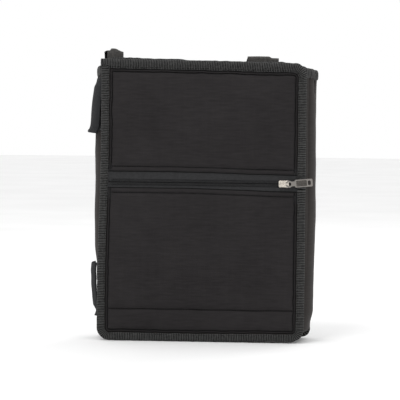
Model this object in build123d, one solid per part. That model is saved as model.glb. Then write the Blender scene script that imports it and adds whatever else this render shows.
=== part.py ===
from build123d import *
from math import cos, radians, sin
import os

os.makedirs("parts", exist_ok=True)

# An open-topped padded bag for drum sticks. It stands on the floor with its zipped pocket towards -Y.
# All sizes are in millimetres. The origin is on the floor, midway between the front and the back.

# the whole bag
WIDTH = 322  # across the front, from binding edge to binding edge
HEIGHT = 440  # from the floor to the mouth
DEPTH = 80  # from the front seam to the back seam
LEAN = 8  # the soft bag stands askew: its back is this far to the right of its front
SIDE_TOP = 430  # the mouth dips over the side walls

# fabrics
PADDING = 4.4  # the padded front and back
WALL = 3.0  # the gussets
SQUEEZED = 1.4  # a padded edge inside its binding
TAPE = 0.8  # binding tape
CLEAR = 0.2  # between sewn layers

# the bound seams: each is a flat flange that stands out in the plane of the front or the back
FLANGE = 12.5
OUTER_CORNER = 20
SEAM_CORNER = 8
SEAM = WIDTH / 2 - FLANGE
LAYER = DEPTH / 2  # the two fabrics of a flange meet in this plane
PANEL_EDGE = LAYER + 0.1
PANEL_FACE = PANEL_EDGE + PADDING
GUSSET_EDGE = LAYER - CLEAR
GUSSET_EDGE_BACK = GUSSET_EDGE - SQUEEZED
BINDING_OUT = PANEL_EDGE + SQUEEZED + 0.1 + TAPE
BINDING_IN = GUSSET_EDGE_BACK - 0.1 - TAPE

# the mouth's tape, folded over the ends of everything else
MOUTH = 15
MOUTH_CORNER = 9
MOUTH_OUT = BINDING_OUT + CLEAR + TAPE
MOUTH_IN = BINDING_IN - CLEAR - TAPE

# the gussets' walls, seen from above, start just inside the seams and bulge outwards
WALL_START = 36.3
FOLD = WALL + 0.3
BULGE_RIGHT = [(20.5, 166), (110, 169.5), (300, 171.5), (470, 171.5)]
BULGE_LEFT = [(20.5, 163), (110, 167), (180, 170), (240, 176), (470, 176)]
FLOOR_LOW = FLANGE + 0.3
SIDE_LOW = 20.5

# the zip, a size 10 coil
ZIP = 248  # height of the coils
LOWER_EDGE = 239  # the pocket's padded edge
UPPER_EDGE = 265
ZIP_END = 152  # the tapes end inside the side bindings
TAPE_FRONT = LAYER + 1.0
TAPE_BACK = LAYER + 0.2
TAPE_REACH = 27
COIL_GAP = 0.5
COIL_WIDE = 3.1
COIL_FRONT = TAPE_FRONT + 2.3
COIL_END = 147

# the slider, at the closed end of its travel
SLIDER = 128 - LEAN / 2
SLIDER_LONG = 17
SLIDER_TALL = 11.5
SLIDER_FACE = COIL_FRONT + 1.7
BAIL_TOP = SLIDER_FACE + 5.0
PULL_AT = Vector(SLIDER + 7.8, -(SLIDER_FACE + 1.6), ZIP - 0.2)
PULL_LONG = 42
PULL_WIDE = 12
PULL_THICK = 1.6
PULL_TILT = 5

# webbing
WEB = 2.0
LOOPS = {"hanging_loop_left": (-156, 30, 14.5), "hanging_loop_right": (83, 54, 8.5)}  # centre, width, height


def shown(side):
    """How far the front (-1) or the back (1) is shifted sideways by the bag's lean."""
    return side * LEAN / 2


def upright(width, low, high, corner, top_corner=0.0):
    """A flat shape standing across the bag, with both lower corners and perhaps its top right one rounded."""
    shape = Pos(0, (low + high) / 2) * Rectangle(width, high - low)
    shape = fillet(shape.vertices().sort_by(Axis.Y)[:2], corner)
    if top_corner:
        shape = fillet(shape.vertices().sort_by(Axis.Y)[-2:].sort_by(Axis.X)[-1:], top_corner)
    return Plane.XZ * shape


def sheet(shape, side, inner, outer):
    """The flat shape as a slab on the front (-1) or the back (1), between two distances from the middle."""
    start = -inner if side < 0 else outer
    return Pos(shown(side), start, 0) * extrude(shape, amount=outer - inner)


def block(x, y, z):
    """A box given by its limits along each axis."""
    size = [high - low for low, high in (x, y, z)]
    middle = [(high + low) / 2 for low, high in (x, y, z)]
    return Pos(*middle) * Box(*size)


def panel(side, low, high):
    """A padded panel: its full thickness inside the seams, and its squeezed edge inside the bindings."""
    edge_low = max(low, 0.9)
    field_low = max(low, FLANGE + 1)
    field_high = min(high, HEIGHT - MOUTH - 1)
    edge_high = min(high, HEIGHT - 0.9)
    edge_corner = OUTER_CORNER - 0.9 if low < FLANGE else 0.1
    edge = upright(WIDTH - 1.8, edge_low, edge_high, edge_corner, MOUTH_CORNER + 2 if high > SIDE_TOP else 0)
    field = upright(2 * SEAM - 2, field_low, field_high, SEAM_CORNER - 1 if low < FLANGE else 0.1)
    padded = sheet(field, side, PANEL_EDGE, PANEL_FACE)
    rim = padded.faces().sort_by(Axis.Y)[0 if side < 0 else -1].edges()
    padded = fillet(rim, 2)
    return padded + sheet(edge, side, PANEL_EDGE, PANEL_EDGE + SQUEEZED)


def zip_recess():
    """Room behind the pocket's padded edges for the zip's tapes."""
    end = ZIP_END + 0.3
    low = ZIP - TAPE_REACH - 0.3
    high = ZIP + TAPE_REACH + 0.3
    middle = shown(-1)
    return block((middle - end, middle + end), (-TAPE_FRONT - 0.2, -LAYER), (low, high))


def pocket_lining():
    """The pocket's inner wall, a shallow tray whose edges are sewn to the back of the front panels."""
    middle = shown(-1)
    half = SEAM - FOLD - 0.6
    face = LAYER - 0.1
    tray = block((middle - half, middle + half), (-face, -LAYER + 3.1), (46, 280))
    hollow = block((middle - half + 3, middle + half - 3), (-face, -LAYER + 2.1), (50, 276))
    return tray - hollow


def seam_binding(side):
    """Tape folded over a flange, down one side, along the bottom and up the other side."""
    top = HEIGHT - 1.1
    outer = upright(WIDTH, 0, top, OUTER_CORNER, MOUTH_CORNER)
    inner = upright(2 * SEAM, FLANGE, top, SEAM_CORNER)
    rim_hole = upright(WIDTH - 2 * TAPE, TAPE, top, OUTER_CORNER - TAPE, MOUTH_CORNER)
    legs = outer - inner
    binding = sheet(legs, side, BINDING_OUT - TAPE, BINDING_OUT)
    binding += sheet(legs, side, BINDING_IN, BINDING_IN + TAPE)
    return binding + sheet(outer - rim_hole, side, BINDING_IN, BINDING_OUT)


def mouth_outline(half, top):
    """The mouth tape's outline: square at its cut left end, rounded where it turns onto the right gusset."""
    shape = Pos(0, top - MOUTH / 2) * Rectangle(2 * half, MOUTH)
    corner = shape.vertices().sort_by(Axis.Y)[2:].sort_by(Axis.X)[-1:]
    return Plane.XZ * fillet(corner, MOUTH_CORNER)


def mouth_tape(side):
    """Tape folded over the top of the front or the back, notched for the gussets' folds."""
    half = WIDTH / 2 + 1
    outer = sheet(mouth_outline(half, HEIGHT), side, MOUTH_IN, MOUTH_OUT)
    room = Pos(-1, 0, -TAPE) * sheet(mouth_outline(half, HEIGHT), side, MOUTH_IN + TAPE, MOUTH_OUT - TAPE)
    tape = outer - room
    for end in (-1, 1):
        fold = sorted(shown(side) + end * (SEAM - reach) for reach in (FOLD + 0.4, -0.4))
        depth = sorted(side * y for y in (MOUTH_IN - 1, GUSSET_EDGE + 0.1))
        tape -= block(fold, depth, (HEIGHT - MOUTH - 1, HEIGHT - TAPE))
    return tape


def wall_circle(side, bulge):
    """Centre and radius of a side wall's outer face, seen from above."""
    front = (side * (SEAM - 0.3) - LEAN / 2, -WALL_START)
    back = (side * (SEAM - 0.3) + LEAN / 2, WALL_START)
    arc = ThreePointArc(front, (side * bulge, 0), back)
    return arc.arc_center, arc.radius


def wall_arc(side, bulge, depth):
    """The side wall's arc at a depth below its outer face, from the front fold to the back one."""
    centre, radius = wall_circle(side, bulge)
    radius -= depth
    ends = []
    for way in (-1, 1):
        x = side * (SEAM - 0.3 - depth) + way * LEAN / 2
        ends.append((x, centre.Y + way * (radius**2 - (x - centre.X) ** 2) ** 0.5))
    return ThreePointArc(ends[0], (centre.X + side * radius, centre.Y), ends[1])


def gusset_outline(side, bulge):
    """A side gusset from above: an edge in each flange, a fold at each seam and the wall between them."""
    out = wall_arc(side, bulge, 0)
    back = wall_arc(side, bulge, WALL)
    outline = [out, back]
    for way, outer_end, inner_end in ((-1, out @ 0, back @ 0), (1, out @ 1, back @ 1)):
        tip = side * (WIDTH / 2 - 1.1) + way * LEAN / 2
        path = Polyline(
            outer_end,
            (outer_end.X, way * GUSSET_EDGE_BACK),
            (tip, way * GUSSET_EDGE_BACK),
            (tip, way * GUSSET_EDGE),
            (inner_end.X, way * GUSSET_EDGE),
            inner_end,
        )
        outline += path.edges()
    return make_face(outline)


def side_gusset(side, bulges):
    """A side wall, its bulge changing with height."""
    sections = [Pos(0, 0, height) * gusset_outline(side, bulge) for height, bulge in bulges]
    wall = loft(sections, ruled=True)
    return wall & block((-250, 250), (-60, 60), (SIDE_LOW, SIDE_TOP - 1))


def wall_plan(side, bulge, depth):
    """The region inside a side wall, as far as the middle of the bag."""
    wall = wall_arc(side, bulge, depth)
    front, back = wall @ 0, wall @ 1
    rest = Polyline(back, (0, back.Y), (0, front.Y), front)
    return make_face([wall, *rest.edges()])


def bottom_gusset():
    """The floor of the bag, turned up at both ends to meet the side gussets."""
    plan = wall_plan(-1, BULGE_LEFT[0][1], 0) + wall_plan(1, BULGE_RIGHT[0][1], 0)
    inside = wall_plan(-1, BULGE_LEFT[0][1], WALL) + wall_plan(1, BULGE_RIGHT[0][1], WALL)
    floor = Pos(0, 0, FLOOR_LOW) * extrude(plan, amount=SIDE_LOW - 0.2 - FLOOR_LOW)
    floor -= Pos(0, 0, FLOOR_LOW + WALL) * extrude(inside, amount=20)
    reach = SEAM - SEAM_CORNER
    flange = upright(WIDTH - 2.2, 1.1, SIDE_LOW - 0.2, OUTER_CORNER - 1.1)
    flange -= upright(2 * SEAM, FLANGE + 0.3, HEIGHT, SEAM_CORNER)
    for side in (-1, 1):
        ends = sorted((side * (WALL_START - 1), side * GUSSET_EDGE))
        floor += block((shown(side) - reach, shown(side) + reach), ends, (FLOOR_LOW, FLOOR_LOW + WALL))
        floor += sheet(flange, side, GUSSET_EDGE_BACK, GUSSET_EDGE)
    return floor


def side_mouth_tape(side, bulge):
    """Tape folded over the top of a side gusset."""
    centre, radius = wall_circle(side, bulge)
    low = SIDE_TOP - MOUTH

    def ring(grow, bottom, top):
        flat = Circle(radius + grow) - Circle(radius - WALL - grow)
        return Pos(centre.X, centre.Y, bottom) * extrude(flat, amount=top - bottom)

    tape = ring(0.2 + TAPE, low, SIDE_TOP) - ring(0.2, low, SIDE_TOP - TAPE)
    outwards = sorted((centre.X, centre.X + side * 100))
    return tape & block(outwards, (-34, 34), (low, SIDE_TOP))


def zip_tape(way):
    """The woven tape above (1) or below (-1) the coils."""
    middle = shown(-1)
    height = sorted((ZIP + way * COIL_GAP, ZIP + way * TAPE_REACH))
    return block((middle - ZIP_END, middle + ZIP_END), (-TAPE_FRONT, -TAPE_BACK), height)


def zip_coil(way):
    """One row of coil on the edge of its tape."""
    middle = shown(-1)
    height = sorted((ZIP + way * COIL_GAP, ZIP + way * (COIL_GAP + COIL_WIDE)))
    row = block((middle - COIL_END, middle + COIL_END), (-COIL_FRONT, -TAPE_FRONT - 0.05), height)
    return fillet(row.faces().sort_by(Axis.Y)[0].edges().filter_by(Axis.X), 0.9)


def slider_plate(face, thick, swell):
    """One plate of the slider: widest at its shoulders, with a notch between them."""
    half = SLIDER_LONG / 2
    tall = SLIDER_TALL / 2 + swell
    points = [
        (-half, -tall + 1.2),
        (-half, tall - 1.2),
        (2, tall - 0.6),
        (half - 3.5, tall),
        (half, tall - 1.5),
        (half - 1.5, 0),
        (half, 1.5 - tall),
        (half - 3.5, -tall),
        (2, 0.6 - tall),
    ]
    shape = make_face(Polyline(*points, close=True))
    shape = fillet(shape.vertices(), 1.0)
    plate = Pos(SLIDER, face, ZIP) * extrude(Plane.XZ * shape, amount=thick)
    return fillet(plate.faces().sort_by(Axis.Y)[0].edges(), 0.4) if swell == 0 else plate


def slider_body():
    """Two plates that embrace the coils, joined by a thin neck, with flanges that keep the coils in."""
    top = slider_plate(-(COIL_FRONT + 0.2), 1.5, 0)
    bottom = slider_plate(-(LAYER - 1.5), 1.4, -0.3)
    neck = block((SLIDER + 2.5, SLIDER + 6.5), (-COIL_FRONT - 0.5, -LAYER + 1.0), (ZIP - 0.3, ZIP + 0.3))
    body = top + bottom + neck
    for way in (-1, 1):
        height = sorted((ZIP + way * (COIL_GAP + COIL_WIDE + 0.35), ZIP + way * (SLIDER_TALL / 2 - 0.6)))
        depth = (-COIL_FRONT - 0.5, -TAPE_FRONT - 0.25)
        body += block((SLIDER - SLIDER_LONG / 2 + 0.8, SLIDER + 5.5), depth, height)
    return body


def slider_bail():
    """The low arch on the slider that holds the pull."""
    arch = make_face(
        Polyline(
            (-7.0, SLIDER_FACE),
            (-7.0, BAIL_TOP - 1.6),
            (-5.4, BAIL_TOP),
            (5.6, BAIL_TOP),
            (7.2, BAIL_TOP - 1.6),
            (7.2, SLIDER_FACE),
            (5.9, SLIDER_FACE),
            (5.9, BAIL_TOP - 1.9),
            (5.2, BAIL_TOP - 1.3),
            (-5.0, BAIL_TOP - 1.3),
            (-5.7, BAIL_TOP - 1.9),
            (-5.7, SLIDER_FACE),
            close=True,
        )
    )
    side_view = Plane(origin=(SLIDER, 0, ZIP - 1.2), x_dir=(1, 0, 0), z_dir=(0, 0, -1)) * arch
    return extrude(side_view, amount=-2.4)


def pull_tab():
    """A flat pull: a ring round the bail, a waist and a plate with a raised rim and a rounded hole."""
    ring = Circle(5.5)
    plate_long = PULL_LONG - 5.5 - 8.5
    plate = Pos(8.5 + plate_long / 2, 0) * RectangleRounded(plate_long, PULL_WIDE, 2.2)
    waist = Pos(6, 0) * Rectangle(8, 7.5)
    shape = ring + waist + plate
    grip = Pos(PULL_LONG - 5.5 - 5.2, 0) * RectangleRounded(4.6, 7, 1.8)
    shape = shape - Circle(3.1) - grip
    pull = extrude(Plane.XZ * shape, amount=PULL_THICK)
    pull = Pos(0, PULL_THICK / 2, 0) * pull
    pull = fillet(pull.faces().sort_by(Axis.Y)[0].outer_wire().edges(), 0.4)
    sunk = Plane.XZ * Pos(19.3, 0) * RectangleRounded(16.5, PULL_WIDE - 3, 1.4)
    pull -= Pos(0, -PULL_THICK / 2 + 0.35, 0) * extrude(sunk, amount=1)
    return Pos(*PULL_AT) * Rot(0, -PULL_TILT, 0) * pull


def hanging_loop(centre, width, height):
    """Webbing folded into a flattened loop that stands above the back of the mouth."""
    near = MOUTH_OUT + 0.3
    foot = HEIGHT - 9
    top = HEIGHT + height
    wide = 9.6
    outline = Pos(near + wide / 2, (foot + top) / 2) * RectangleRounded(wide, top - foot, 4.4)
    hole = Pos(near + wide / 2, (foot + top) / 2) * RectangleRounded(wide - 2 * WEB, top - foot - 2 * WEB, 1.2)
    side_view = Plane(origin=(centre - width / 2, 0, 0), x_dir=(0, 1, 0), z_dir=(1, 0, 0))
    return extrude(side_view * (outline - hole), amount=width)


def curved_band(bulge, gap, thick, start, end, low, high):
    """A band round the left gusset, clear of it by the gap; its angles run from -X towards the back."""
    centre, radius = wall_circle(-1, bulge)
    inner = radius + gap
    outer = inner + thick

    def at(reach, angle):
        return (centre.X - reach * cos(radians(angle)), centre.Y + reach * sin(radians(angle)))

    middle = (start + end) / 2
    out = ThreePointArc(at(outer, start), at(outer, middle), at(outer, end))
    back = ThreePointArc(at(inner, end), at(inner, middle), at(inner, start))
    ends = [Line(out @ 1, back @ 0), Line(back @ 1, out @ 0)]
    return Pos(0, 0, low) * extrude(make_face([out, back, *ends]), amount=high - low)


# the upper strap hangs from its sewn top end; the lower strap stands on its sewn bottom end
UPPER_BULGE = 176
LOWER_BULGE = 166
UPPER_HINGE = (-UPPER_BULGE, 0, 412)
LOWER_HINGE = (-LOWER_BULGE, 0, 44)
UPPER_FLARE = 5.2
LOWER_FLARE = -6.5


def flared(shape, hinge, angle):
    """The shape turned outwards about a line along Y through its sewn end."""
    return Pos(*hinge) * Rot(0, angle, 0) * Pos(*[-value for value in hinge]) * shape


def side_strap_upper():
    """The upper strap, from its sewn top to its hemmed free end."""
    return flared(curved_band(UPPER_BULGE, 0.5, WEB, -55, 13, 324, 413), UPPER_HINGE, UPPER_FLARE)


def hook_pad_upper():
    """Hook tape on the inner face of the upper strap's free end."""
    return flared(curved_band(UPPER_BULGE, -1.0, 1.4, -40, 0, 330, 354), UPPER_HINGE, UPPER_FLARE)


def loop_pad_upper():
    """Loop tape on the gusset, facing the upper strap's hooks."""
    return curved_band(UPPER_BULGE, 0.1, 1.2, -42, 2, 328, 356)


def side_strap_lower():
    """The lower strap, from its sewn bottom to its folded free end."""
    return flared(curved_band(LOWER_BULGE, 0.9, WEB, -38, 20, 38, 123), LOWER_HINGE, LOWER_FLARE)


def hook_pad_lower():
    """Hook tape on the inner face of the lower strap's free end."""
    return flared(curved_band(LOWER_BULGE, -0.6, 1.4, -26, 8, 94, 116), LOWER_HINGE, LOWER_FLARE)


def loop_pad_lower():
    """Loop tape on the gusset, facing the lower strap's hooks."""
    return curved_band(LOWER_BULGE + 2.4, 0.1, 1.2, -28, 10, 92, 118)


front_low = panel(-1, 0, LOWER_EDGE) - zip_recess()
front_high = panel(-1, UPPER_EDGE, HEIGHT) - zip_recess()

parts = {
    "front_panel_upper": front_high,
    "front_panel_lower": front_low,
    "pocket_lining": pocket_lining(),
    "back_panel": panel(1, 0, HEIGHT),
    "gusset_left": side_gusset(-1, BULGE_LEFT),
    "gusset_right": side_gusset(1, BULGE_RIGHT),
    "gusset_bottom": bottom_gusset(),
    "front_seam_binding": seam_binding(-1),
    "back_seam_binding": seam_binding(1),
    "mouth_tape_front": mouth_tape(-1),
    "mouth_tape_back": mouth_tape(1),
    "mouth_tape_left": side_mouth_tape(-1, BULGE_LEFT[-1][1]),
    "mouth_tape_right": side_mouth_tape(1, BULGE_RIGHT[-1][1]),
    "zip_tape_upper": zip_tape(1),
    "zip_tape_lower": zip_tape(-1),
    "zip_coil_upper": zip_coil(1),
    "zip_coil_lower": zip_coil(-1),
    "slider_body": slider_body(),
    "slider_bail": slider_bail(),
    "pull_tab": pull_tab(),
    "side_strap_upper": side_strap_upper(),
    "side_strap_lower": side_strap_lower(),
    "hook_pad_upper": hook_pad_upper(),
    "hook_pad_lower": hook_pad_lower(),
    "loop_pad_upper": loop_pad_upper(),
    "loop_pad_lower": loop_pad_lower(),
}
for name, (centre, width, height) in LOOPS.items():
    parts[name] = hanging_loop(centre, width, height)

for name, shape in parts.items():
    export_step(shape, f"parts/{name}.step")
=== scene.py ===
import math
import random

import bpy
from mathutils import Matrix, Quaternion, Vector, noise


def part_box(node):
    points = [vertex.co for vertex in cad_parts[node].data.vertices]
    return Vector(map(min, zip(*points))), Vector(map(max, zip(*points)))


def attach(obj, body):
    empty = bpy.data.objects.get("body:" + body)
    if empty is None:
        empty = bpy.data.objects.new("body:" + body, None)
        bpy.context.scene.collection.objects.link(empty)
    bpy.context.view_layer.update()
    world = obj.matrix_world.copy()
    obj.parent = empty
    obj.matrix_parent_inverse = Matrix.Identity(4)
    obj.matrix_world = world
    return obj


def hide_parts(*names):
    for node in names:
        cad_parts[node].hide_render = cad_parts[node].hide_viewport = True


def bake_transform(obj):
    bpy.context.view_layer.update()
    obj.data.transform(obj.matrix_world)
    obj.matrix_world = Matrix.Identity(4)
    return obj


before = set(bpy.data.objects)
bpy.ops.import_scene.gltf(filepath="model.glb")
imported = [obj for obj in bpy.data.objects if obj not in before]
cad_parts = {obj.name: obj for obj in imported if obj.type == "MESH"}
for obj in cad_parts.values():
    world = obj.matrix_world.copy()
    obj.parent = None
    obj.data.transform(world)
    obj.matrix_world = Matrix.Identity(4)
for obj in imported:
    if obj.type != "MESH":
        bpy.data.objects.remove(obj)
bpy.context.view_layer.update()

# A drum stick bag: padded panels, gussets and bound seams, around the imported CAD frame.
# Metres, with +X to the right, +Y to the back and +Z up. All the cloth stands for soft CAD solids.
random.seed(7)

# the bag, read from the frame
front_low, front_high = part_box("front_seam_binding")
back_low, back_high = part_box("back_seam_binding")
FRONT_MID = (front_low.x + front_high.x) / 2
BACK_MID = (back_low.x + back_high.x) / 2
HALF = (front_high.x - front_low.x) / 2
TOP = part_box("mouth_tape_front")[1].z
ZIP_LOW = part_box("front_panel_lower")[1].z
ZIP_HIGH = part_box("front_panel_upper")[0].z
LAYER = 0.040  # the panels and the gussets meet in the planes at this distance from the middle
FLANGE = 0.0125
SEAM = HALF - FLANGE
CORNER = 0.020
MOUTH = 0.015
PANEL_HIGH = TOP - MOUTH
POCKET_SEAM = 0.050
GROOVE_DRIFT = 0.0009  # how far the grooves beside the seams wander
PANEL_CORNER = 0.008  # the radius of a panel's top right corner
PLANE = LAYER + 0.0001  # where a panel's edge lies


# ---- numbers

def curve(knots, x):
    """The smooth line through (x, y) knots, level outside them."""
    if x <= knots[0][0]:
        return knots[0][1]
    for (x0, y0), (x1, y1) in zip(knots, knots[1:]):
        if x < x1:
            t = (x - x0) / (x1 - x0)
            return y0 + (y1 - y0) * t * t * (3 - 2 * t)
    return knots[-1][1]


def bump(x, centre, width):
    """A rounded hump of height 1."""
    return math.exp(-(((x - centre) / width) ** 2))


def wander(x, y, z, scale, seed=0.0):
    """Smooth noise from -1 to 1 that changes over about `scale` metres."""
    return noise.noise(Vector((x / scale + seed, y / scale - seed, z / scale + 2 * seed)))


def steps(low, high, size):
    """Evenly spaced numbers from low to high."""
    count = max(1, round(abs(high - low) / size))
    return [low + (high - low) * i / count for i in range(count + 1)]


def dense_steps(low, high, bands, fine, coarse):
    """Numbers from low to high that are closer together inside the bands."""
    values = [low]
    while values[-1] < high - 1e-6:
        here = values[-1]
        inside = any(a - fine <= here < b for a, b in bands)
        step = fine if inside else coarse
        ahead = [a for a, b in bands if a > here + 1e-9]
        if not inside and ahead:
            step = min(step, max(fine, min(ahead) - here))
        values.append(min(high, here + step))
    return values


# ---- meshes

def new_object(name, points, faces, uvs=None):
    """A smooth mesh object, settled with the rest of the bag."""
    mesh = bpy.data.meshes.new(name)
    mesh.from_pydata([settled(p) for p in points], [], faces)
    if uvs:
        layer = mesh.uv_layers.new(name="cloth")
        flat = [value for face in uvs for corner in face for value in corner]
        layer.data.foreach_set("uv", flat)
    mesh.polygons.foreach_set("use_smooth", [True] * len(mesh.polygons))
    mesh.update()
    made = bpy.data.objects.new(name, mesh)
    bpy.context.scene.collection.objects.link(made)
    return made


def lengths(points):
    """Distance along a row of points, starting from 0."""
    total = [0.0]
    for a, b in zip(points, points[1:]):
        total.append(total[-1] + (Vector(b) - Vector(a)).length)
    return total


def slab(name, face, back):
    """A closed piece between two grids of points; which way its faces point depends on how the grids run."""
    rows, columns = len(face), len(face[0])
    points = [p for row in face for p in row] + [p for row in back for p in row]
    second = rows * columns
    u = lengths([row[columns // 2] for row in face])
    v = lengths(face[rows // 2])
    faces, uvs = [], []

    def add(corners, where):
        faces.append(corners)
        uvs.append([(v[j], u[i]) for i, j in where])

    for i in range(rows - 1):
        for j in range(columns - 1):
            where = [(i, j), (i, j + 1), (i + 1, j + 1), (i + 1, j)]
            corners = [a * columns + b for a, b in where]
            add(corners, where)
            add([second + c for c in reversed(corners)], where[::-1])
    edge = [(0, j) for j in range(columns)] + [(i, columns - 1) for i in range(1, rows)]
    edge += [(rows - 1, j) for j in range(columns - 2, -1, -1)] + [(i, 0) for i in range(rows - 2, 0, -1)]
    for a, b in zip(edge, edge[1:] + edge[:1]):
        one, two = a[0] * columns + a[1], b[0] * columns + b[1]
        add([two, one, second + one, second + two], [b, a, a, b])
    return new_object(name, points, faces, uvs)


def grid(rows, columns, point):
    """Rows of points, one for each row and column value."""
    return [[point(row, column) for column in columns] for row in rows]


def sweep(name, rings):
    """A tube through rings of points, with flat ends."""
    count = len(rings[0])
    points = [p for ring in rings for p in ring]
    centres = [sum((Vector(p) for p in ring), Vector()) / count for ring in rings]
    u = lengths(centres)
    around = rings[len(rings) // 2]
    v = lengths(list(around) + [around[0]])
    faces, uvs = [], []
    for i in range(len(rings) - 1):
        here, after = i * count, (i + 1) * count
        for j in range(count):
            k = (j + 1) % count
            faces.append([here + j, here + k, after + k, after + j])
            uvs.append([(u[i], v[j]), (u[i], v[j + 1]), (u[i + 1], v[j + 1]), (u[i + 1], v[j])])
    last = (len(rings) - 1) * count
    faces.append(list(range(count))[::-1])
    faces.append([last + j for j in range(count)])
    uvs += [[(0.0, 0.0)] * count, [(0.0, 0.0)] * count]
    return new_object(name, points, faces, uvs)


def joined(name, meshes):
    """One object from several lists of (points, faces)."""
    points, faces = [], []
    for more_points, more_faces in meshes:
        start = len(points)
        points += more_points
        faces += [[start + i for i in face] for face in more_faces]
    return new_object(name, points, faces)


def tube_mesh(path, radius, sides=6, flat=1.0, normal=Vector((0, 1, 0))):
    """Points and faces of a thin tube along a path, tapered at both ends; its faces point into the tube."""
    points, faces = [], []
    path = [Vector(p) for p in path]
    for i, here in enumerate(path):
        ahead = path[min(i + 1, len(path) - 1)] - path[max(i - 1, 0)]
        side = ahead.cross(normal).normalized()
        up = side.cross(ahead).normalized()
        size = radius * (0.35 if i in (0, len(path) - 1) else 1)
        for k in range(sides):
            angle = 2 * math.pi * k / sides
            points.append(here + side * math.cos(angle) * size + up * math.sin(angle) * size * flat)
    for i in range(len(path) - 1):
        for k in range(sides):
            n = (k + 1) % sides
            faces.append([i * sides + k, i * sides + n, (i + 1) * sides + n, (i + 1) * sides + k])
    faces.append(list(range(sides))[::-1])
    faces.append([(len(path) - 1) * sides + k for k in range(sides)])
    return points, faces


def stitch_row(name, path, outward, length=0.0030, gap=0.0010, radius=0.00032):
    """A row of thread stitches along a path; each one dips into the cloth at its two ends."""
    path = [Vector(p) for p in path]
    total = lengths(path)
    meshes = []

    def at(distance):
        for i in range(len(total) - 1):
            if distance <= total[i + 1]:
                share = (distance - total[i]) / max(1e-9, total[i + 1] - total[i])
                return path[i].lerp(path[i + 1], share)
        return path[-1]

    place = gap
    outward = Vector(outward).normalized()
    while place + length < total[-1]:
        ends = [at(place + length * share) for share in (0, 0.2, 0.5, 0.8, 1)]
        lift = [-0.4, 0.35, 0.6, 0.35, -0.4]
        drift = random.uniform(-0.12, 0.12) * radius
        arc = [p + outward * (radius * high + drift) for p, high in zip(ends, lift)]
        meshes.append(tube_mesh(arc, radius, 5, 0.8, outward))
        place += length + gap
    return joined(name, meshes)


# ---- materials

def material(name, color, roughness, sheen=0.0, metallic=0.0, gloss=False):
    """A new principled material, its node tree and its shader."""
    made = bpy.data.materials.new(name)
    made.use_nodes = True
    shader = made.node_tree.nodes["Principled BSDF"]
    shader.inputs["Base Color"].default_value = (*color, 1)
    shader.inputs["Roughness"].default_value = roughness
    shader.inputs["Metallic"].default_value = metallic
    shader.inputs["Sheen Weight"].default_value = sheen
    shader.inputs["Sheen Roughness"].default_value = 0.5
    shader.inputs["Specular IOR Level"].default_value = 0.5 if metallic or gloss else 0.12
    return made, made.node_tree, shader


def scaled(tree, source, scale):
    """Texture coordinates, stretched by a scale along each axis."""
    mapping = tree.nodes.new("ShaderNodeMapping")
    mapping.inputs["Scale"].default_value = scale
    tree.links.new(source, mapping.inputs["Vector"])
    return mapping.outputs["Vector"]


def noise_of(tree, vector, scale, detail=3.0):
    """A noise texture's value."""
    texture = tree.nodes.new("ShaderNodeTexNoise")
    texture.inputs["Scale"].default_value = scale
    texture.inputs["Detail"].default_value = detail
    tree.links.new(vector, texture.inputs["Vector"])
    return texture.outputs["Fac"]


def wave_of(tree, vector, scale, direction, distortion=0.0):
    """A row of rounded ribs."""
    texture = tree.nodes.new("ShaderNodeTexWave")
    texture.bands_direction = direction
    texture.inputs["Scale"].default_value = scale
    texture.inputs["Distortion"].default_value = distortion
    texture.inputs["Detail"].default_value = 1.0
    tree.links.new(vector, texture.inputs["Vector"])
    return texture.outputs["Fac"]


def combined(tree, operation, a, b):
    """The result of a math node on two sockets or numbers."""
    made = tree.nodes.new("ShaderNodeMath")
    made.operation = operation
    for socket, value in zip(made.inputs, (a, b)):
        if isinstance(value, (int, float)):
            socket.default_value = value
        else:
            tree.links.new(value, socket)
    return made.outputs[0]


def mixed(tree, a, b, share):
    """A blend of two values, with a share of the first."""
    return combined(tree, "ADD", combined(tree, "MULTIPLY", a, share),
                    combined(tree, "MULTIPLY", b, 1 - share))


def blotched(tree, shader, value, dark, light, spread=0.2):
    """The shader's colour, from dark to light with a value; a smaller spread gives more contrast."""
    ramp = tree.nodes.new("ShaderNodeValToRGB")
    ramp.color_ramp.elements[0].position = 0.5 - spread
    ramp.color_ramp.elements[0].color = (*dark, 1)
    ramp.color_ramp.elements[1].position = 0.5 + spread
    ramp.color_ramp.elements[1].color = (*light, 1)
    tree.links.new(value, ramp.inputs["Fac"])
    tree.links.new(ramp.outputs["Color"], shader.inputs["Base Color"])


def raised(tree, shader, value, distance, strength=1.0):
    """Surface relief from a value, a given height in metres."""
    relief = tree.nodes.new("ShaderNodeBump")
    relief.inputs["Distance"].default_value = distance
    relief.inputs["Strength"].default_value = strength
    tree.links.new(value, relief.inputs["Height"])
    tree.links.new(relief.outputs["Normal"], shader.inputs["Normal"])


def object_space(tree):
    return tree.nodes.new("ShaderNodeTexCoord").outputs["Object"]


def uv_space(tree):
    return tree.nodes.new("ShaderNodeTexCoord").outputs["UV"]


def knit(name, dark, light, sheen=0.04):
    """Fine jersey laminated on foam: soft, nearly flat, with faint rubbed patches."""
    made, tree, shader = material(name, light, 0.88, sheen)
    space = object_space(tree)
    patches = noise_of(tree, space, 14, 4)
    streaks = noise_of(tree, scaled(tree, space, (0.12, 0.12, 1.0)), 420, 2)
    wales = noise_of(tree, scaled(tree, space, (1.0, 1.0, 0.05)), 260, 2)
    grain = mixed(tree, streaks, wales, 0.8)
    blotched(tree, shader, mixed(tree, patches, grain, 0.4), dark, light)
    cells = tree.nodes.new("ShaderNodeTexVoronoi")
    cells.inputs["Scale"].default_value = 900
    tree.links.new(scaled(tree, space, (1.0, 1.0, 0.6)), cells.inputs["Vector"])
    relief = combined(tree, "ADD", cells.outputs["Distance"], grain)
    raised(tree, shader, relief, 0.00022, 0.6)
    return made


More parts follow.
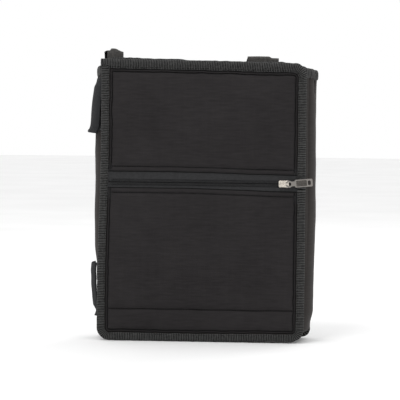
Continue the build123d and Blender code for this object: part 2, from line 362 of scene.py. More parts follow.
def ribbed(name, dark, light, pitch, height, sheen=0.2, fuzz=350, spread=0.2):
    """Woven tape or webbing with ribs across it; a small `spread` darkens the gaps between lumps."""
    made, tree, shader = material(name, light, 0.82, sheen)
    space = uv_space(tree)
    turns = 1 / pitch / 20 * 2 * math.pi
    ribs = wave_of(tree, space, turns, "X", 1.6)
    threads = wave_of(tree, space, turns * 1.6, "Y", 1.0)
    lumps = noise_of(tree, object_space(tree), fuzz, 3)
    blotched(tree, shader, mixed(tree, ribs, lumps, 0.45), dark, light, spread)
    weave = combined(tree, "MULTIPLY", ribs, combined(tree, "ADD", threads, 0.6))
    raised(tree, shader, combined(tree, "ADD", weave, lumps), height, 0.8)
    return made


def pile(name, color, scale, height):
    """Hook or loop tape: a dense coarse nap."""
    made, tree, shader = material(name, color, 0.95, 0.3)
    cells = tree.nodes.new("ShaderNodeTexVoronoi")
    cells.inputs["Scale"].default_value = scale
    tree.links.new(object_space(tree), cells.inputs["Vector"])
    blotched(tree, shader, cells.outputs["Distance"], tuple(c * 0.4 for c in color), color)
    raised(tree, shader, cells.outputs["Distance"], height, 1.0)
    return made


def metal(name, color, roughness, worn, rim=None):
    """Plated die-cast metal, rubbed in small patches; in front of the plane y = rim it is worn bright."""
    made, tree, shader = material(name, color, roughness, 0.0, 1.0)
    space = object_space(tree)
    scuffs = noise_of(tree, space, 420, 5)
    blotched(tree, shader, scuffs, worn, color)
    if rim is not None:
        place = tree.nodes.new("ShaderNodeSeparateXYZ")
        tree.links.new(space, place.inputs["Vector"])
        bright = tree.nodes.new("ShaderNodeMapRange")
        bright.inputs["From Min"].default_value = rim + 0.0001
        bright.inputs["From Max"].default_value = rim
        tree.links.new(place.outputs["Y"], bright.inputs["Value"])
        mix = tree.nodes.new("ShaderNodeMix")
        mix.data_type = "RGBA"
        mix.inputs[7].default_value = (0.23, 0.215, 0.20, 1)
        tree.links.new(bright.outputs["Result"], mix.inputs[0])
        tree.links.new(shader.inputs["Base Color"].links[0].from_socket, mix.inputs[6])
        tree.links.new(mix.outputs[2], shader.inputs["Base Color"])
    rough = tree.nodes.new("ShaderNodeMapRange")
    rough.inputs["To Min"].default_value = roughness * 0.7
    rough.inputs["To Max"].default_value = roughness * 1.5
    tree.links.new(scuffs, rough.inputs["Value"])
    tree.links.new(rough.outputs["Result"], shader.inputs["Roughness"])
    raised(tree, shader, noise_of(tree, space, 1500, 2), 0.00005, 0.4)
    return made


def plastic(name, color, roughness):
    """Moulded or extruded plastic with a faintly uneven gloss."""
    made, tree, shader = material(name, color, roughness, gloss=True)
    spots = noise_of(tree, object_space(tree), 600, 3)
    blotched(tree, shader, spots, tuple(c * 0.7 for c in color), color)
    return made


PANEL_CLOTH = knit("panel_cloth", (0.0135, 0.0122, 0.0127), (0.0235, 0.0214, 0.0221))
GUSSET_CLOTH = knit("gusset_cloth", (0.019, 0.0165, 0.0155), (0.034, 0.0295, 0.0275), 0.08)
LINING_CLOTH = knit("lining_cloth", (0.008, 0.008, 0.009), (0.015, 0.015, 0.016))
BINDING_TAPE = ribbed("binding_tape", (0.004, 0.004, 0.0039), (0.063, 0.063, 0.062), 0.0026, 0.0005, 0.08,
                      fuzz=230, spread=0.10)
WEBBING = ribbed("webbing", (0.006, 0.0064, 0.0078), (0.0205, 0.0209, 0.0225), 0.0024, 0.0005, 0.05)
# Painted shade: a near-black copy of the loop webbing, laid on the loops' inside faces where their interior
# is in shadow.
LOOP_INSIDE_PAINTED_SHADE = ribbed("loop_inside_painted_shade", (0.003, 0.003, 0.003), (0.009, 0.009, 0.009), 0.0024, 0.0004, 0.0)
LOOP_WEBBING = ribbed("loop_webbing", (0.032, 0.031, 0.030), (0.100, 0.095, 0.090), 0.0021, 0.0005, 0.12,
                      spread=0.16)
ZIP_CLOTH = ribbed("zip_cloth", (0.0175, 0.0176, 0.0185), (0.038, 0.0381, 0.0395), 0.0012, 0.00015, 0.05)
COIL_PLASTIC = plastic("coil_plastic", (0.010, 0.010, 0.011), 0.38)
# Dark thread for the stitches; the same material paints shade as the dark strands in the grooves, folds and
# crease.
THREAD_AND_PAINTED_SHADE = ribbed("thread", (0.003, 0.003, 0.003), (0.009, 0.009, 0.009), 0.0006, 0.0001, 0.03)
HOOK_PILE = pile("hook_pile", (0.014, 0.014, 0.015), 1100, 0.0008)
LOOP_PILE = pile("loop_pile", (0.018, 0.018, 0.020), 700, 0.0008)
SLIDER_METAL = metal("slider_metal", (0.78, 0.72, 0.64), 0.24, (0.45, 0.41, 0.36))
PULL_METAL = metal("pull_metal", (0.115, 0.106, 0.098), 0.30, (0.060, 0.055, 0.050), rim=-0.0473)


def finish_piece(piece, cloth, body=None, nodes=(), between=None):
    """Material, slot, replaced CAD nodes and the body to ride on; with `between`, the piece's transform is
    baked in instead, and the bodies and points named in `between` are not used.
    """
    if not piece.data.materials:
        piece.data.materials.append(cloth)
    if nodes:
        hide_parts(*nodes)
    if between:
        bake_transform(piece)
    else:
        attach(piece, body)
    return piece


# ---- the seams' outline

def outline(inset, top_left, top_right, step=0.003, corner=CORNER):
    """Points down the left side, along the bottom and up the right side, with each one's inward direction."""
    radius = corner - inset
    side = HALF - inset
    bend = max(14, round(0.03 / step))
    middle = HALF - corner

    def turned(way):
        points = []
        for i in range(1, bend):
            angle = math.pi / 2 * i / bend
            along, up = (math.cos(angle), math.sin(angle)) if way < 0 else (-math.sin(angle), math.cos(angle))
            points.append(((way * middle - along * radius, corner - up * radius), (along, up)))
        return points

    made = [((-side, z), (1, 0)) for z in steps(top_left, corner, step)] + turned(-1)
    made += [((x, inset), (0, 1)) for x in steps(corner - HALF, middle, step)] + turned(1)
    made += [((side, z), (-1, 0)) for z in steps(corner, top_right, step)]
    return made


def seam_depth(x, z):
    """How far a point of a panel lies inside the side and bottom seams; x is from the panel's middle."""
    radius = CORNER - FLANGE
    dx = abs(x) - (SEAM - radius)
    dz = CORNER - z
    if dx > 0 and dz > 0:
        return radius - math.hypot(dx, dz)
    return min(SEAM - abs(x), z - FLANGE)


# ---- padded panels

# Height of a panel's face over the plane of its edge, against the distance in from a seam: under the
# binding, a groove, a thin raised line of cloth, a second groove and then the padding.
SEAM_SHAPE = [(-0.003, 0.0012), (0.0002, 0.0002), (0.0014, 0.0002), (0.0028, 0.0028), (0.0040, 0.0004),
              (0.0050, 0.0005), (0.0070, 0.0034), (0.0110, 0.0043), (0.0180, 0.0047)]
# The same, in from an edge that is turned under beside the zip and topstitched.
HEM_SHAPE = [(0.0, 0.0006), (0.0006, 0.0023), (0.0022, 0.0037), (0.0048, 0.0037), (0.0062, 0.0030),
             (0.0068, 0.0008), (0.0078, 0.0008), (0.0086, 0.0032), (0.0130, 0.0046)]
POCKET_SEAM_SHAPE = [(0.0, 0.0006), (0.0006, 0.0007), (0.0018, 0.0032), (0.0060, 0.0043), (0.0120, 0.0046)]


def panel_face(x, z, low, high, hem_low, hem_high, pocket, seed):
    """Height of the padded face over the plane of its edge."""
    depth = seam_depth(x, z) + GROOVE_DRIFT * wander(x, 1, z, 0.016, seed)
    heights = [curve(HEM_SHAPE, z - low) if hem_low else 1]
    if hem_high:
        heights.append(curve(HEM_SHAPE, high - z))
    else:
        under = high - z + GROOVE_DRIFT * wander(x, 1, z, 0.016, seed)
        dx, dz = x - SEAM + PANEL_CORNER, PANEL_CORNER - under
        depth = PANEL_CORNER - math.hypot(dx, dz) if dx > 0 and dz > 0 else min(depth, under)
    heights.append(curve(SEAM_SHAPE, depth))
    if pocket:
        heights.append(curve(POCKET_SEAM_SHAPE, abs(z - POCKET_SEAM - wander(x, 0, 1, 0.05) * 0.0006)))
    height = min(heights)
    inside = min(depth, z - low if hem_low else 1, high - z)
    soft = curve([(0.004, 0), (0.030, 1)], inside)
    crown = 0.0010 * curve([(0.01, 0), (0.09, 1)], inside)
    rolls = 0.00045 * wander(x, 0, z, 0.075, seed) + 0.00016 * wander(x, 0, z, 0.022, seed)
    tension = 0.00022 * wander(x, 0, z * 0.2, 0.012, seed) * bump(inside, 0.012, 0.010)
    return height + crown + rolls * soft + tension


def panel(name, side, low, high, hem_low=False, hem_high=False, pocket=False, seed=0.0):
    """A padded panel of the front (-1) or the back (1), between two heights."""
    mid = FRONT_MID if side < 0 else BACK_MID
    width = SEAM + 0.004
    bottom = low if hem_low else low - 0.004
    top = high if hem_high else high + 0.004
    edge = 0.014
    columns = dense_steps(-width, width, [(-width, -width + edge), (width - edge, width)], 0.0007, 0.0034)
    bands = [(bottom, bottom + edge), (top - edge, top)]
    if pocket:
        bands.append((POCKET_SEAM - 0.004, POCKET_SEAM + 0.004))
    rows = dense_steps(bottom, top, bands, 0.0007, 0.0034)

    def padded(z, x):
        return mid + x, side * (PLANE + panel_face(x, z, low, high, hem_low, hem_high, pocket, seed)), z

    def inner(z, x):
        return mid + x, side * (PLANE - abs(0.0003 * wander(x, 3, z, 0.09, seed))), z

    return slab(name, grid(rows, columns, padded), grid(rows, columns, inner))


# ---- how the soft bag has settled

def mouth_sag(x, y):
    """How far the mouth's edge is above its design height: it droops to the right, most at the back."""
    share = min(1, max(0, y / LAYER / 2 + 0.5))
    front = -0.0050 * (x + HALF) / (2 * HALF)
    back = curve([(-HALF, 0.0040), (-0.055, 0.0022), (-0.025, -0.0004), (0.110, -0.0014), (HALF, -0.0085)], x)
    return front + (back - front) * share + 0.0007 * wander(x, y, 0, 0.055, 4.0)


def zip_sag(x, z):
    """How far the hems beside the zip hang below a straight line; the coils between them stay straight."""
    right = curve([(-0.05, 0), (0.15, 1)], x)
    above = curve([(ZIP_LOW + 0.012, 0), (ZIP_HIGH, 1)], z)
    above *= curve([(ZIP_HIGH + 0.02, 1), (ZIP_HIGH + 0.07, 0)], z)
    below = curve([(ZIP_LOW - 0.07, 0), (ZIP_LOW - 0.02, 1)], z)
    below *= curve([(ZIP_LOW, 1), (ZIP_LOW + 0.006, 0)], z)
    rolls = 0.0006 * wander(x, 0, 0, 0.045, 14.0)
    return above * (0.0034 * right + rolls) + below * (0.0040 * right - rolls)


def settled(point):
    """The same point on the soft bag: mouth and zip sag, the left side leans, a corner lifts."""
    x, y, z = point
    foot = curve([(0, 1), (0.05, 0)], z)
    lifted = 0.0015 * curve([(-0.02, 0), (0.12, 1)], x) * foot
    if y < 0:
        lifted += 0.0012 * curve([(0.135, 0), (HALF, 1)], x) * foot
    left = curve([(-0.16, 1), (0.0, 0)], x) * curve([(0.08, -0.0023), (0.33, 0.0025)], z)
    sag = mouth_sag(x, y) * curve([(0.30, 0), (TOP, 1)], z)
    if y < -0.03:
        sag -= zip_sag(x, z)
    return x + left, y, z + sag + lifted


def middle_at(y):
    """The bag's middle, which shifts sideways from the front to the back."""
    return (FRONT_MID + BACK_MID) / 2 + (BACK_MID - FRONT_MID) / 2 * y / LAYER


# ---- bound seams

# A folded tape's section: how far across the tape from its rolled edge, and the height over the seam's plane.
FOLDED = [(0.99, 0.0016), (0.95, 0.0030), (0.82, 0.0033), (0.55, 0.0033), (0.30, 0.0032), (0.12, 0.0025),
          (0.02, 0.0012), (0.0, 0.0001), (0.02, -0.0011), (0.12, -0.0021), (0.35, -0.0026), (0.70, -0.0026),
          (0.93, -0.0022), (0.99, -0.0014), (0.97, 0.0)]
FOLDED_MOUTH = [(0.99, 0.0010), (0.95, 0.0018), (0.84, 0.0022), (0.66, 0.0032), (0.48, 0.0045),
                (0.30, 0.0040), (0.12, 0.0025), (0.02, 0.0010), (0.0, -0.0002), (0.02, -0.0014),
                (0.12, -0.0026), (0.35, -0.0033), (0.70, -0.0034), (0.93, -0.0029), (0.99, -0.0015),
                (0.97, 0.0)]


def folded_tape(name, outer, inner, side, section, ends=(1.0, 1.0), seed=0.0):
    """Tape folded over a seam between an outer and an inner rail; `ends` scales its thickness at each end."""
    mid = FRONT_MID if side < 0 else BACK_MID
    along = lengths([(x, 0, z) for x, z in outer])
    rings = []
    for (x0, z0), (x1, z1), t in zip(outer, inner, along):
        near = curve([(0, ends[0]), (0.02, 1)], t) * curve([(along[-1] - 0.02, 1), (along[-1], ends[1])], t)
        lump = 0.16 * wander(t, 0, side, 0.006, seed) + 0.16 * wander(t, 2, side, 0.017, seed)
        edge = 0.060 * wander(t, 5, side, 0.011, seed)
        nose = 0.0007 * wander(t, 9, side, 0.009, seed)
        ring = []
        for share, height in section:
            swell = 1 + lump * (1 + 0.6 * wander(t, share * 0.02, side, 0.008, seed + 2))
            swell += 0.10 * math.sin(2 * math.pi * (t / 0.0022 + 0.5 * share) + 20 * lump)
            share = share + edge * share ** 3 + nose / 0.0125 * (1 - share) ** 4
            x, z = x0 + (x1 - x0) * share, z0 + (z1 - z0) * share
            ring.append((mid + x, side * (LAYER + height * swell * near), z))
        rings.append(ring if side < 0 else ring[::-1])
    return sweep(name, rings)


def seam_rails(top_left, top_right, side):
    """The outer and the inner edge of a seam's binding; the back one turns its corners more tightly."""
    corner = CORNER if side < 0 else 0.0135
    outer = [p for p, _ in outline(0.0, top_left, top_right, 0.00055, corner)]
    inner = [p for p, _ in outline(FLANGE, top_left, top_right, 0.00055, corner)]
    return outer, inner


def mouth_rails(low):
    """The same for the mouth's tape: along the top, round the right corner and down the side."""
    rails = []
    count, bend, below = 560, 27, 61
    for inset, drop, radius in ((0.0, 0.0, 0.0190), (FLANGE, MOUTH, 0.0085)):
        x_end, z_start = HALF - inset - radius, TOP - drop - radius
        rail = [(-HALF - 0.001 + (x_end + HALF + 0.001) * i / count, TOP - drop) for i in range(count)]
        for i in range(bend):
            angle = math.pi / 2 * i / bend
            rail.append((x_end + radius * math.sin(angle), z_start + radius * math.cos(angle)))
        rail += [(HALF - inset, z_start + (low - z_start) * i / (below - 1)) for i in range(below)]
        rails.append(rail)
    return rails


# ---- the gusset

CHORD = 0.0363
WALL = 0.003
BULGE_LEFT = [(0.0205, 0.0165), (0.045, 0.0190), (0.110, 0.0205), (0.150, 0.0258), (0.220, 0.0272),
              (0.300, 0.0298), (0.370, 0.0298), (0.418, 0.0255)]
BULGE_RIGHT = [(0.0205, 0.0165), (0.050, 0.0214), (0.110, 0.0220), (0.200, 0.0240), (0.300, 0.0228),
               (0.400, 0.0226)]
BULGE_FLOOR = 0.0032
PINCH = 0.43  # where the right wall's mouth is pinched, between its front (0) and its back (1)


def bulge_at(x, z, inward):
    """How far the gusset bulges beyond its seams."""
    level = abs(inward[1])
    walls = curve(BULGE_LEFT if x < 0 else BULGE_RIGHT, z)
    level = level * level * (3 - 2 * level)
    return walls + (BULGE_FLOOR - walls) * level


def wall_top(side, share):
    """How much the gusset's mouth dips between its front (0) and its back (1)."""
    if side < 0:
        return curve([(0.0, 0.0015), (0.2, -0.0005), (0.5, -0.0035), (0.8, -0.0010), (1.0, 0.0015)], share)
    return curve([(0.0, 0.0050), (0.16, 0.0042), (0.34, 0.0035), (0.44, -0.0010), (0.56, 0.0030),
                  (0.80, 0.0040), (1.0, 0.0045)], share)


def wall_point(spot, inward, share, depth):
    """A point of the gusset, from a spot on the seam's line and a share from the front seam to the back."""
    x, z = spot
    bulge = bulge_at(x, z, inward)
    side = -1 if x < 0 else 1
    upright_share = 1 - abs(inward[1])
    radius = (CHORD ** 2 + bulge ** 2) / (2 * bulge)
    widest = math.asin(min(1, CHORD / radius))
    inside = min(1, max(0, share))
    angle = (2 * inside - 1) * widest
    soft = math.sin(math.pi * inside) ** 0.7
    lift = 0.0009 * wander(x, share * 0.08, z, 0.050, 1.5) + 0.0003 * wander(x, share * 0.08, z, 0.017, 3.5)
    lift -= 0.0008 * bump(inside, 0.5, 0.05) * upright_share
    corner = bump(abs(inward[1]), 0.7, 0.35)
    lift += 0.0009 * corner * wander(x * 3, share * 0.02, z * 3, 0.012, 6.0)
    if side > 0:
        tall = curve([(0.09, 0), (0.20, 1)], z) * upright_share
        lift += (0.0015 * bump(inside, 0.135, 0.030) - 0.0012 * bump(inside, 0.205, 0.022)) * tall
        pinch = curve([(TOP - 0.060, 0), (TOP - 0.012, 1)], z) * upright_share
        lift -= 0.0050 * bump(inside, PINCH, 0.045) * pinch - 0.0010 * bump(inside, 0.60, 0.12) * pinch
    reach = bulge - radius + (radius - depth + lift * soft) * math.cos(angle)
    y = (radius - depth + lift * soft) * math.sin(angle)
    if share < 0 or share > 1:
        beyond = -share if share < 0 else share - 1
        way = -1 if share < 0 else 1
        if beyond < 1.5:
            reach, y = (0.0012 if depth <= 0 else -0.0022), way * 0.0386
        else:
            reach, y = (0.0035 if depth <= 0 else -0.0016), way * 0.0407
    z += wall_top(side, inside) * curve([(TOP - 0.075, 0), (TOP - 0.011, 1)], z) * upright_share
    return middle_at(y) + x - inward[0] * reach, y, z - inward[1] * reach


def across_wall():
    """Shares across the gusset; the two beyond each end turn in behind the seams."""
    inner = dense_steps(0, 1, [(0.0, 0.24), (0.38, 0.50)], 0.014, 0.036)
    return [-2, -1, *inner, 2, 3]


def gusset_strip(name, top):
    """One strip of cloth down the left side, under the bag and up the right side."""
    track = outline(FLANGE, top, top, 0.0035)
    shares = across_wall()
    sides = [grid(track, shares, lambda at, share: wall_point(*at, share, depth)) for depth in (0.0, WALL)]
    return slab(name, *sides)


def wall_frame(side, share, z):
    """A point on a side wall and its direction to the right, which is inwards on the left wall."""
    spot, inward = (side * SEAM, z), (-side, 0.0)
    ahead = Vector(wall_point(spot, inward, min(1, share + 0.01), 0.0))
    behind = Vector(wall_point(spot, inward, max(0, share - 0.01), 0.0))
    along = (ahead - behind).normalized()
    return Vector(wall_point(spot, inward, share, 0.0)), Vector((along.y, -along.x, 0)).normalized()


def side_tape(name, side, top):
    """Tape folded over the mouth of a side wall; on the left wall its ends lie more to the outside."""
    section = [(0.0012, -0.0150), (0.0017, -0.0135), (0.0022, -0.0085), (0.0020, -0.0035), (0.0008, -0.0002),
               (-0.0015, 0.0011), (-0.0038, -0.0002), (-0.0050, -0.0035), (-0.0052, -0.0085),
               (-0.0047, -0.0135), (-0.0042, -0.0150), (-0.0015, -0.0146)]
    rings = []
    for i in range(49):
        share = 0.012 + 0.976 * i / 48
        here, out = wall_frame(side, share, top)
        if out.x * side < 0 and 0.2 < share < 0.8:
            out = -out
        lump = 1 + 0.12 * wander(share * 0.1, side, 0, 0.007, 8.0)
        rings.append([here + out * away * lump + Vector((0, 0, up + 0.0003 * wander(share * 0.1, 0, 0, 0.01)))
                      for away, up in section])
    return sweep(name, rings if side < 0 else [ring[::-1] for ring in rings])


# ---- webbing

def rounded(path, between):
    """The path of 2-D points with a smooth curve's points added between them."""
    smooth = []
    for i in range(len(path) - 1):
        near = (path[max(i - 1, 0)], path[i], path[i + 1], path[min(i + 2, len(path) - 1)])
        a, b, c, d = (Vector((*point, 0)) for point in near)
        for k in range(between):
            t = k / between
            point = 0.5 * (2 * b + (c - a) * t + (2 * a - 5 * b + 4 * c - d) * t * t
                           + (3 * b - a - 3 * c + d) * t ** 3)
            smooth.append((point.x, point.y))
    return [*smooth, path[-1]]


def hanging_loop(name, node, left):
    """Webbing folded into a flattened loop, its left end turned a little towards the front."""
    low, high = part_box(node)
    near, foot, tall = low.y, low.z, high.z - low.z
    path = [(0.0008, 0.0), (0.0010, 0.32), (0.0008, 0.62), (0.0014, 0.84), (0.0034, 0.965), (0.0058, 0.985),
            (0.0080, 0.90), (0.0088, 0.70), (0.0080, 0.42), (0.0062, 0.18), (0.0038, 0.03)]
    smooth = rounded(path, 4)
    shares = steps(0, 1, 0.0015 / (high.x - low.x))
    cut = 0.0048 if left else 0.0052
    face, back = [], []
    for i, (y, share) in enumerate(smooth):
        over = i / (len(smooth) - 1)
        start = low.x + cut * curve([(0.38, 1), (0.52, 0.45), (0.60, 0)], over)
        if not left:
            start += 0.0045 * share * curve([(0.40, 0), (0.60, 1)], over)
        columns = [start + (high.x - start) * c for c in shares]
        y0, s0 = smooth[max(i - 1, 0)]
        y1, s1 = smooth[min(i + 1, len(smooth) - 1)]
        along = Vector((0, y1 - y0, (s1 - s0) * tall)).normalized()
        inward = Vector((0, along.z, -along.y))
        outer, inner = [], []
        for x in columns:
            turned = max(0, 1 - (x - low.x) / (0.007 if left else 0.009))
            sunk = 0.0
            if left:
                sunk = curve([(0, 0.0036), (0.006, 0.0030), (0.011, 0.0), (0.015, 0.0002), (0.030, 0.0056)],
                             x - low.x) + 0.0016 * bump(x - low.x, 0.0085, 0.0012)
            else:
                sunk = 0.0026 * curve([(high.x - 0.016, 0), (high.x - 0.010, 1)], x) + 0.0006 * turned
            swing = (0.0065 if left else 0.0050) * turned ** 1.6 * share
            wave = 0.0004 * wander(x, y, share * tall, 0.02, 9.0 if left else 12.0)
            opened = (0.9 if left else 1.0) + 0.3 * turned * (y / 0.009)
            if left and over > 0.5:
                swing += 0.0035 * max(0, 1 - (x - low.x) / 0.0035) * share
            point = Vector((x, near + y * opened - swing, foot + share * tall - sunk * share))
            ribs = 0.00008 * math.sin(x / 0.0021 * 2 * math.pi)
            outer.append(point + inward * -(0.0 + wave + ribs))
            inner.append(point + inward * (0.0015 - wave))
        face.append(outer)
        back.append(inner)
    made = slab(name, face, back)
    made.data.materials.append(LOOP_WEBBING)
    # A second slot for the loop's inner faces: painted shade, except on the lip at the left loop's open end.
    made.data.materials.append(LOOP_INSIDE_PAINTED_SHADE)
    second = len(face) * len(face[0])
    for polygon in made.data.polygons:
        lip = left and polygon.center.x < low.x + 0.0030
        if min(polygon.vertices) >= second and not lip:
            polygon.material_index = 1
    return made


def circle_of(points):
    """Centre and radius of the circle through three points of a plane."""
    (ax, ay), (bx, by), (cx, cy) = points
    d = 2 * (ax * (by - cy) + bx * (cy - ay) + cx * (ay - by))
    a, b, c = ax * ax + ay * ay, bx * bx + by * by, cx * cx + cy * cy
    ux = (a * (by - cy) + b * (cy - ay) + c * (ay - by)) / d
    uy = (a * (cx - bx) + b * (ax - cx) + c * (bx - ax)) / d
    return ux, uy, math.hypot(ax - ux, ay - uy)


def strap_grid(half_width, gap, thick, angles, heights, hinge_z, flare, bend):
    """Two faces of a band round the left wall, turned outwards about its sewn end and bent a little more."""
    lean = (BACK_MID - FRONT_MID) / 2
    seam = SEAM - 0.0003
    cx, cy, radius = circle_of([(-seam - lean, -CHORD), (-half_width, 0), (-seam + lean, CHORD)])
    turn = math.radians(flare)
    face, back = [], []
    for z in heights:
        rows = ([], [])
        away = abs(z - hinge_z)
        for angle in angles:
            for row, reach in zip(rows, (gap + thick, gap)):
                ripple = 0.00025 * wander(angle * 0.001, 0, z, 0.015, 5.0)
                r = radius + reach + ripple
                x = cx - r * math.cos(math.radians(angle))
                y = cy + r * math.sin(math.radians(angle))
                dx, dz = x + half_width, z - hinge_z
                outwards = dx * math.cos(turn) + dz * math.sin(turn) - curve(bend, away)
                row.append(Vector((-half_width + outwards, y,
                                   hinge_z - dx * math.sin(turn) + dz * math.cos(turn))))
        face.append(rows[0])
        back.append(rows[1])
    return face, back


# ---- camera, floor and light

def aim_camera():
    """A long lens a few metres in front of the bag, slightly to its right and slightly above it."""
    azimuth, elevation, roll, distance = 4.3, 2.6, 0.55, 3.2
    a, e = math.radians(azimuth), math.radians(elevation)
    back = Vector((math.sin(a) * math.cos(e), -math.cos(a) * math.cos(e), math.sin(e)))
    right = Vector((math.cos(a), math.sin(a), 0))
    up = back.cross(right)
    data = bpy.data.cameras.new("camera")
    data.lens = 182.8
    made = bpy.data.objects.new("camera", data)
    bpy.context.scene.collection.objects.link(made)
    made.location = Vector((0, 0, TOP / 2)) + back * distance - right * 0.0098 - up * 0.0005
    made.rotation_mode = "QUATERNION"
    rolled = Quaternion(back, math.radians(roll))
    made.rotation_quaternion = rolled @ (-back).to_track_quat("-Z", "Y")
    bpy.context.scene.camera = made


def area_light(name, place, target, size, power):
    """A soft square light aimed at a point."""
    data = bpy.data.lights.new(name, "AREA")
    data.shape = "RECTANGLE"
    data.size, data.size_y = size
    data.energy = power
    made = bpy.data.objects.new(name, data)
    made.location = place
    made.rotation_mode = "QUATERNION"
    made.rotation_quaternion = (Vector(target) - Vector(place)).to_track_quat("-Z", "Y")
    bpy.context.scene.collection.objects.link(made)


def studio():
    """A plain pale floor, an even white surround and soft lights."""
    floor_cloth, tree, shader = material("studio_floor", (0.9, 0.9, 0.9), 0.8)
    specks = noise_of(tree, object_space(tree), 3, 2)
    blotched(tree, shader, specks, (0.88, 0.88, 0.88), (0.92, 0.92, 0.92))
    points, faces = [(0, 0, -0.0004)], []
    for i in range(96):
        angle = 2 * math.pi * i / 96
        points.append((12 * math.cos(angle), 12 * math.sin(angle), -0.0004))
        faces.append([0, 1 + i, 1 + (i + 1) % 96])
    mesh = bpy.data.meshes.new("studio_floor")
    mesh.from_pydata(points, [], faces)
    floor = bpy.data.objects.new("studio_floor", mesh)
    floor.data.materials.append(floor_cloth)
    bpy.context.scene.collection.objects.link(floor)
    world = bpy.data.worlds.new("studio")
    world.use_nodes = True
    world.node_tree.nodes["Background"].inputs["Color"].default_value = (1, 1, 1, 1)
    world.node_tree.nodes["Background"].inputs["Strength"].default_value = 1.0
    bpy.context.scene.world = world
    bpy.context.scene.view_settings.view_transform = "Standard"
    area_light("key", (-0.7, -1.6, 3.0), (0, 0, 0.25), (1.0, 1.0), 30)
    area_light("fill", (2.2, -2.2, 1.2), (0, 0, 0.2), (1.8, 1.8), 5)
    area_light("rim", (1.2, 2.0, 2.0), (0, 0, 0.25), (1.2, 1.2), 14)


aim_camera()
studio()

# ---- the pieces

# the walls' bend line, just behind the front panel, in front of the side straps; finish_piece does not use it
# to bend them
BEND = ("shell", "front", (0, -0.028, 0), (0, -0.037, 0))

front_upper = panel("panel_front_upper", -1, ZIP_HIGH, PANEL_HIGH, hem_low=True, seed=1.0)
finish_piece(front_upper, PANEL_CLOTH, "front", ["front_panel_upper"])
front_lower = panel("panel_front_lower", -1, FLANGE, ZIP_LOW, hem_high=True, pocket=True, seed=2.0)
finish_piece(front_lower, PANEL_CLOTH, "front", ["front_panel_lower"])
back_panel = panel("panel_back", 1, FLANGE, PANEL_HIGH, seed=3.0)
finish_piece(back_panel, PANEL_CLOTH, "shell", ["back_panel"])

gusset = gusset_strip("gusset_strip", TOP - 0.0115)
finish_piece(gusset, GUSSET_CLOTH, nodes=["gusset_left", "gusset_bottom", "gusset_right"],
             between=BEND)

for side, body, word in ((-1, "front", "front"), (1, "shell", "back")):
    outer, inner = seam_rails(TOP - 0.008, TOP - 0.028, side)
    binding = folded_tape(f"binding_{word}", outer, inner, side, FOLDED, seed=1.0)
    finish_piece(binding, BINDING_TAPE, body, [f"{word}_seam_binding"])
    outer, inner = mouth_rails(TOP - 0.044)
    tape = folded_tape(f"tape_mouth_{word}", outer, inner, side, FOLDED_MOUTH, (1.0, 0.76), 2.0)
    finish_piece(tape, BINDING_TAPE, body, [f"mouth_tape_{word}"])

for side, word in ((-1, "left"), (1, "right")):
    tape = side_tape(f"tape_mouth_{word}", side, TOP - 0.0115)
    finish_piece(tape, BINDING_TAPE, nodes=[f"mouth_tape_{word}"], between=BEND)
    left = side < 0
    loop = hanging_loop(f"loop_{word}", f"hanging_loop_{word}", left)
    body = f"loop_{word}"
    finish_piece(loop, LOOP_WEBBING, nodes=[f"hanging_loop_{word}"],
                 between=("shell", body, (0, 0, TOP - 0.010), (0, 0, TOP - 0.005)))


def zip_pieces():
    """The two woven tapes, their coils and the rows that sew the coils on."""
    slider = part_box("slider_body")[0].x
    pitch, around, wire = 0.0021, 10, 0.00042
    for way, word in ((1, "upper"), (-1, "lower")):
        low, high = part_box(f"zip_tape_{word}")
        coil_low, coil_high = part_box(f"zip_coil_{word}")
        columns = steps(low.x, high.x, 0.003)
        rows = steps(low.z, high.z, 0.0016)
        back = grid(rows, columns, lambda z, x: (x, high.y, z))
        front = grid(rows, columns,
                     lambda z, x: (x, low.y + 0.0001 - abs(0.0004 * wander(x, 0, z, 0.030, 7.0)), z))
        tape = slab(f"zip_cloth_{word}", front, back)
        finish_piece(tape, ZIP_CLOTH, "front", [f"zip_tape_{word}"])
        turns = int((coil_high.x - coil_low.x - 0.002) / pitch)
        middle_z = (coil_low.z + coil_high.z) / 2 - way * 0.0002
        middle_y = (coil_low.y + coil_high.y) / 2
        path = []
        for i in range(turns * around):
            angle = 2 * math.pi * i / around
            x = coil_low.x + 0.001 + pitch * (i / around + (0.5 if way > 0 else 0))
            spread = way * curve([(slider, 0), (coil_high.x, 0.0016)], x)
            c, s = math.cos(angle), math.sin(angle)
            z = middle_z + spread + 0.00150 * math.copysign(abs(c) ** 0.8, c)
            path.append((x, middle_y - 0.00075 * math.copysign(abs(s) ** 0.8, s), z))
        coil = joined(f"coil_{word}", [tube_mesh(path, wire, 5)])
        finish_piece(coil, COIL_PLASTIC, "front", [f"zip_coil_{word}"])
        row = [(x, low.y - 0.00015, (coil_high.z if way > 0 else coil_low.z) + way * 0.0009)
               for x in steps(low.x + 0.010, high.x - 0.010, 0.01)]
        thread = stitch_row(f"stitches_zip_{word}", row, (0, -1, 0), 0.0022, 0.0008, 0.00028)
        finish_piece(thread, THREAD_AND_PAINTED_SHADE, "front")


zip_pieces()


